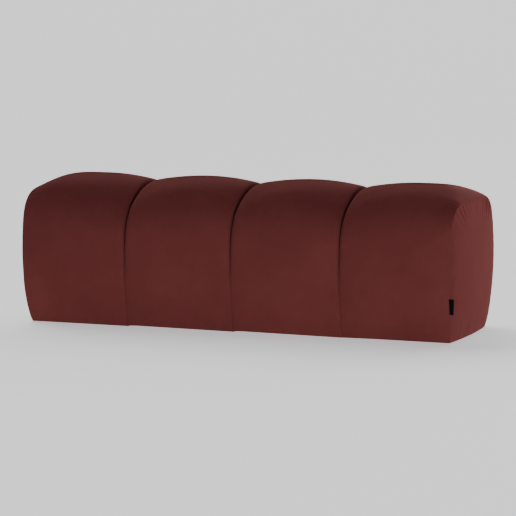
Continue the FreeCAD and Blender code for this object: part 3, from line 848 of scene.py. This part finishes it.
def velvet_material(finish):
    """Short velvet pile: dull face, soft sheen at its edges, patches where the pile lies the other way."""
    values = {"Pile": finish.velvet, "Shade": finish.velvet_shade, "Patch Scale": 6.0, "Fibre Scale": 1600.0}
    sheen = {"Sheen Weight": 0.15, "Sheen Roughness": 0.34, "Sheen Tint": finish.velvet_sheen, **NO_GLOSS}
    return grouped_material("short_pile_velvet", cloth_nap, values, bump=0.35, depth=0.0006, **sheen)


def foam_material(finish):
    """Cut foam with open cells."""
    shade = scaled(finish.foam, 0.8)
    values = {"Pile": finish.foam, "Shade": shade, "Patch Scale": 12.0, "Fibre Scale": 700.0}
    return grouped_material("cut_foam", cloth_nap, values, bump=0.5, depth=0.001)


def lining_material(finish):
    """Black felted lining."""
    pile = scaled(finish.lining, 1.5)
    values = {"Pile": pile, "Shade": finish.lining, "Patch Scale": 30.0, "Fibre Scale": 900.0}
    return grouped_material("black_lining", cloth_nap, values, bump=0.4, depth=0.0005)


def label_material(finish):
    """Black woven tape."""
    values = {"Thread": scaled(finish.label, 1.6), "Gap": finish.label, "Threads": 5200.0}
    return grouped_material("woven_label", plain_weave, values, bump=0.4, depth=0.0002, **NO_GLOSS)


def tape_material(finish):
    """Plain cotton tape."""
    values = {"Thread": finish.tape, "Gap": scaled(finish.tape, 0.6), "Threads": 2600.0}
    return grouped_material("cotton_tape", plain_weave, values, bump=0.5, depth=0.0004)


def timber_material(name, colour, line_scale, length):
    """Raw timber or board."""
    values = {"Pale": colour, "Dark": scaled(colour, 0.55), "Line Scale": line_scale, "Length": length}
    return grouped_material(name, timber_grain, values, bump=0.3, depth=0.0006)


def refinish(node, material):
    """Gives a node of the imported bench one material."""
    node.data.materials.clear()
    node.data.materials.append(material)


def upholster(piece, finish, *nodes):
    """Gives a closed padded piece its velvet and foam, and hangs it on the bench."""
    piece.data.materials.append(velvet_material(finish))
    piece.data.materials.append(foam_material(finish))
    settle(piece, "velvet", *nodes)


class BENCH_OT_padded_bays(bpy.types.Operator):
    """Velvet bays over foam, settled as cloth and closed round the frame"""

    bl_idname = "bench.padded_bays"
    bl_label = "Padded bays"

    def execute(self, context):
        shape, finish = context.scene.bench_shape, context.scene.bench_finish
        for bay in range(BAYS):
            number = bay + 1
            grid = velvet_grid(f"bay_skin_{number}", bay_points(shape, bay), shape)
            grid = gathered_bay(shape, grid, bay)
            piece = closed_bay(f"padded_bay_{number}", grid, bay)
            nodes = [f"{kind}_{number}" for kind in ("cover_panel", "seat_foam", "front_foam", "rear_foam")]
            upholster(piece, finish, *nodes)
        return {"FINISHED"}


class BENCH_OT_padded_ends(bpy.types.Operator):
    """Velvet end panels over foam, settled as cloth and closed against the frame's ends"""

    bl_idname = "bench.padded_ends"
    bl_label = "Padded ends"

    def execute(self, context):
        shape, finish = context.scene.bench_shape, context.scene.bench_finish
        for name, side in SIDES:
            grid = velvet_grid(f"end_skin_{name}", end_points(shape, side), shape)
            grid = gathered_end(shape, grid, side)
            piece = closed_end(f"padded_end_{name}", grid, side)
            upholster(piece, finish, f"end_panel_{name}", f"end_foam_{name}")
        return {"FINISHED"}


class BENCH_OT_turned_hem(bpy.types.Operator):
    """Velvet hem turned under the frame, as a flat band round the underside"""

    bl_idname = "bench.turned_hem"
    bl_label = "Turned hem"

    def execute(self, context):
        lap = 0.060
        hem = named_primitive("turned_hem", bpy.ops.mesh.primitive_plane_add, size=2.0)
        hem.scale = (FRAME_X, FRAME_Y, 1.0)
        hem.location = (0.0, 0.0, HEM_Z)
        bpy.ops.object.transform_apply(location=True, rotation=False, scale=True)
        bpy.ops.object.mode_set(mode="EDIT")
        bpy.ops.mesh.select_all(action="SELECT")
        bpy.ops.mesh.inset(thickness=lap, use_even_offset=True)
        bpy.ops.mesh.delete(type="FACE")
        bpy.ops.object.mode_set(mode="OBJECT")
        thicken(hem, FRAME_Z - HEM_Z, 1.0, velvet_material(context.scene.bench_finish))
        settle(hem, "velvet")
        return {"FINISHED"}


class BENCH_OT_listing_strips(bpy.types.Operator):
    """Doubled tapes that tie the grooves down to the frame, deep between the bays"""

    bl_idname = "bench.listing_strips"
    bl_label = "Listing strips"

    def execute(self, context):
        shape = context.scene.bench_shape
        material = tape_material(context.scene.bench_finish)
        depth = 0.026  # from the velvet's face in to the tape's edge
        steps = 120
        for number, x in enumerate(GROOVES, 1):
            tape = named_grid(f"listing_tape_{number}", 1, steps)
            places = points_of(tape)
            share = (places[:, 1] + 1) / 2
            y, z, face_y, face_z = face(shape, number, np.full_like(share, x), share)
            tape_z = np.maximum(z - depth * face_z, FRAME_Z)
            outer = np.stack([np.full_like(y, x), y - depth * face_y, tape_z], -1)
            inner = against_frame(outer, x)
            set_points(tape, np.where(places[:, :1] < 0, inner, outer))
            thicken(tape, TAPE_HALF, 0.0, material)
            settle(tape, "listing_tape", f"listing_strip_{number}")
        return {"FINISHED"}


class BENCH_OT_dust_cover(bpy.types.Operator):
    """Thin lining stretched under the frame"""

    bl_idname = "bench.dust_cover"
    bl_label = "Dust cover"

    def execute(self, context):
        cells = (84, 24)
        middle_sag = 0.0016
        wave_height = 0.0005
        staple_step = 0.06
        pull, pull_run = 0.25, 0.018  # waves between the staples, and how far in they reach
        low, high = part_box("dust_cover")
        width, length = high[1] - low[1], high[0] - low[0]
        lining = named_grid("dust_lining", *cells)
        places = points_of(lining)
        x, y = places[:, 0] * length / 2, places[:, 1] * width / 2
        inside = (1 - np.abs(places[:, 0]) ** 6) * (1 - np.abs(places[:, 1]) ** 4)
        pulled = pull * np.sin(2 * math.pi * x / staple_step) * np.exp(-(width / 2 - np.abs(y)) / pull_run)
        sag = (middle_sag + wave_height * (np.sin(x * 17 + 3 * y) + pulled)) * inside
        set_points(lining, np.stack([x, y, high[2] - sag], -1))
        thicken(lining, high[2] - low[2], -1.0, lining_material(context.scene.bench_finish))
        smooth_faces(lining)
        settle(lining, "dust_cloth", "dust_cover")
        return {"FINISHED"}


class BENCH_OT_loop_label(bpy.types.Operator):
    """Bare folded label in the front right seam"""

    bl_idname = "bench.loop_label"
    bl_label = "Loop label"

    def execute(self, context):
        shape = context.scene.bench_shape
        low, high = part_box("side_label")
        cells = (24, 16)
        tape = 0.0005  # thickness
        turn = 0.0008  # radius of the fold
        straight = 0.0145 - turn  # from the seam to the fold
        narrow = 0.14  # share by which it reaches less far half way down, and again at its foot
        outward, lean, curl = 0.97, 0.12, 9.0  # the way it stands out, and bends back
        sewn_x, sewn_y = 0.0015, 0.001  # how far it is sewn in
        front_edge = np.linspace(0.0, 0.33, 400)  # shares of the end seam up the front
        seam_x, seam_y, seam_z = rim(shape, 1, front_edge)
        label = named_grid("loop_label", *cells)
        places = points_of(label)
        up = low[2] + (places[:, 1] + 1) / 2 * (high[2] - low[2])
        root_x, root_y = np.interp(up, seam_z, seam_x), np.interp(up, seam_z, seam_y)
        quarter = turn * math.pi / 2
        run = np.abs(places[:, 0]) * (straight + quarter)
        bend = np.clip(quarter - run, 0, None) / turn
        out = np.where(bend > 0, straight + turn * np.sin(bend), straight - (run - quarter))
        across = turn * np.cos(np.minimum(bend, math.pi / 2)) * np.sign(places[:, 0] + TINY)
        out = out * (1 - narrow + narrow * places[:, 1])
        back = lean * out + curl * out ** 2
        x = root_x + out * outward - sewn_x
        y = root_y + across + back - sewn_y
        set_points(label, np.stack([x, y, up], -1))
        thicken(label, tape, 0.0, label_material(context.scene.bench_finish))
        smooth_faces(label)
        settle(label, "label_tape", "side_label")
        return {"FINISHED"}


class BENCH_OT_timber_finish(bpy.types.Operator):
    """Raw timber, plywood and hardboard on the frame"""

    bl_idname = "bench.timber_finish"
    bl_label = "Timber finish"

    def execute(self, context):
        finish = context.scene.bench_finish
        materials = {
            "pine": timber_material("sawn_pine", finish.pine, line_scale=45.0, length=0.05),
            "plywood": timber_material("raw_plywood", finish.plywood, line_scale=28.0, length=0.09),
            "hardboard": timber_material("brown_hardboard", finish.hardboard, line_scale=160.0, length=0.7)}
        slots = {part["node"]: part["material_slot"] for part in frame["record"]["subparts"]}
        for name, node in frame["nodes"].items():
            if slots[name] in materials:
                refinish(node, materials[slots[name]])
        return {"FINISHED"}


class BENCH_OT_hardware_finish(bpy.types.Operator):
    """Moulded glides, plated screws and staples"""

    bl_idname = "bench.hardware_finish"
    bl_label = "Hardware finish"

    def execute(self, context):
        finish = context.scene.bench_finish
        plated = {"Face": finish.steel, "Scuff": scaled(finish.steel, 0.7), "Scale": 900.0, "Rough": 0.38}
        moulded = {"Face": finish.glide, "Scuff": scaled(finish.glide, 2.6), "Scale": 1200.0, "Rough": 0.5}
        steel = grouped_material("plated_steel", fine_speckle, plated, bump=0.1, depth=0.0001, Metallic=1.0)
        plastic = grouped_material("moulded_plastic", fine_speckle, moulded, bump=0.2, depth=0.0002)
        for name, node in frame["nodes"].items():
            if name.endswith(("_screws", "_staples")):
                refinish(node, steel)
            elif name.startswith("glide_"):
                refinish(node, plastic)
        return {"FINISHED"}


class BENCH_OT_stage(bpy.types.Operator):
    """Pale floor, soft lights and the camera"""

    bl_idname = "bench.stage"
    bl_label = "Stage"

    def add_light(self, kind, name, place, way, power):
        """Adds a light of this kind that shines a given way."""
        bpy.ops.object.light_add(type=kind, location=place)
        light = bpy.context.object
        light.name = name
        light.data.energy = power
        light.rotation_euler = way.to_track_quat("-Z", "Y").to_euler()
        return light.data

    def low_light(self, name, place, power):
        """Long low strip of soft light that faces the bench's middle."""
        middle = Vector((0.0, 0.0, TOP_Z / 2))
        strip = self.add_light("AREA", name, place, middle - Vector(place), power)
        strip.shape = "RECTANGLE"
        strip.size = 2.0
        strip.size_y = 0.2

    def wide_light(self, name, way, strength):
        """Light from far off that shines a given way, as soft as a bright cloudy sky."""
        sky = self.add_light("SUN", name, -4 * Vector(way), Vector(way), strength)
        sky.angle = math.radians(50)

    def lay_floor(self, stage):
        """Wide pale floor that gives off a little light."""
        floor = named_primitive("floor", bpy.ops.mesh.primitive_plane_add, size=240.0)
        material, shader = new_material("pale_floor")
        set_inputs(shader, {"Base Color": stage.floor, "Roughness": 0.9, "Emission Color": WHITE,
                            "Emission Strength": stage.floor_glow})
        floor.data.materials.append(material)

    def add_air(self, scene, strength):
        """Faint white light from all around."""
        scene.world = scene.world or bpy.data.worlds.new("air")
        scene.world.use_nodes = True
        set_inputs(scene.world.node_tree.nodes["Background"], {"Color": WHITE, "Strength": strength})

    def add_camera(self, scene, stage):
        """Camera that looks at its target from the stage's angles and distance."""
        sensor = 36.0
        level = math.cos(stage.elevation)
        toward = Vector((math.sin(stage.azimuth) * level, -math.cos(stage.azimuth) * level,
                         math.sin(stage.elevation)))
        target = Vector((stage.target_x, 0.0, stage.target_z))
        bpy.ops.object.camera_add(location=target + toward * stage.distance)
        camera = bpy.context.object
        camera.rotation_euler = (-toward).to_track_quat("-Z", "Y").to_euler()
        camera.data.sensor_width = sensor
        camera.data.lens = sensor * stage.focal_pixels / stage.picture
        camera.data.clip_end = 400.0
        scene.camera = camera

    def execute(self, context):
        stage = context.scene.bench_stage
        self.lay_floor(stage)
        self.low_light("front", (1.1, -9.0, 0.12), stage.front_power)
        self.low_light("side", (6.5, -6.1, 0.12), stage.side_power)
        self.low_light("end", (3.6, 5.4, 0.12), stage.end_power)
        self.wide_light("back", (0.0, -0.87, -0.5), stage.back_strength)
        self.wide_light("left", (0.6, -0.36, -0.71), stage.left_strength)
        self.add_air(context.scene, stage.air)
        self.add_camera(context.scene, stage)
        return {"FINISHED"}


class BENCH_PT_sidebar(bpy.types.Panel):
    """Steps and sizes of the bench"""

    bl_label = "Padded bench"
    bl_idname = "BENCH_PT_sidebar"
    bl_space_type = "VIEW_3D"
    bl_region_type = "UI"
    bl_category = "Bench"

    def draw(self, context):
        for step in STEPS:
            self.layout.operator(step.bl_idname)
        for name, group in GROUPS:
            for key in group.__annotations__:
                self.layout.prop(getattr(context.scene, name), key)


GROUPS = (("bench_shape", BenchShape), ("bench_finish", BenchFinish), ("bench_stage", BenchStage))
STEPS = (BENCH_OT_padded_bays, BENCH_OT_padded_ends, BENCH_OT_turned_hem, BENCH_OT_listing_strips,
         BENCH_OT_dust_cover, BENCH_OT_loop_label, BENCH_OT_timber_finish, BENCH_OT_hardware_finish,
         BENCH_OT_stage)


def register():
    """Makes the bench's settings, steps and panel known."""
    for name, group in GROUPS:
        bpy.utils.register_class(group)
        setattr(bpy.types.Scene, name, PointerProperty(type=group))
    for step in STEPS:
        bpy.utils.register_class(step)
    bpy.utils.register_class(BENCH_PT_sidebar)


def unregister():
    """Takes the bench's panel, steps and settings away again."""
    bpy.utils.unregister_class(BENCH_PT_sidebar)
    for step in reversed(STEPS):
        bpy.utils.unregister_class(step)
    for name, group in reversed(GROUPS):
        delattr(bpy.types.Scene, name)
        bpy.utils.unregister_class(group)


def main():
    """Dresses the bench step by step."""
    register()
    bpy.ops.bench.padded_bays()
    bpy.ops.bench.padded_ends()
    bpy.ops.bench.turned_hem()
    bpy.ops.bench.listing_strips()
    bpy.ops.bench.dust_cover()
    bpy.ops.bench.loop_label()
    bpy.ops.bench.timber_finish()
    bpy.ops.bench.hardware_finish()
    bpy.ops.bench.stage()
    bpy.context.view_layer.update()


if __name__ == "__main__":
    main()
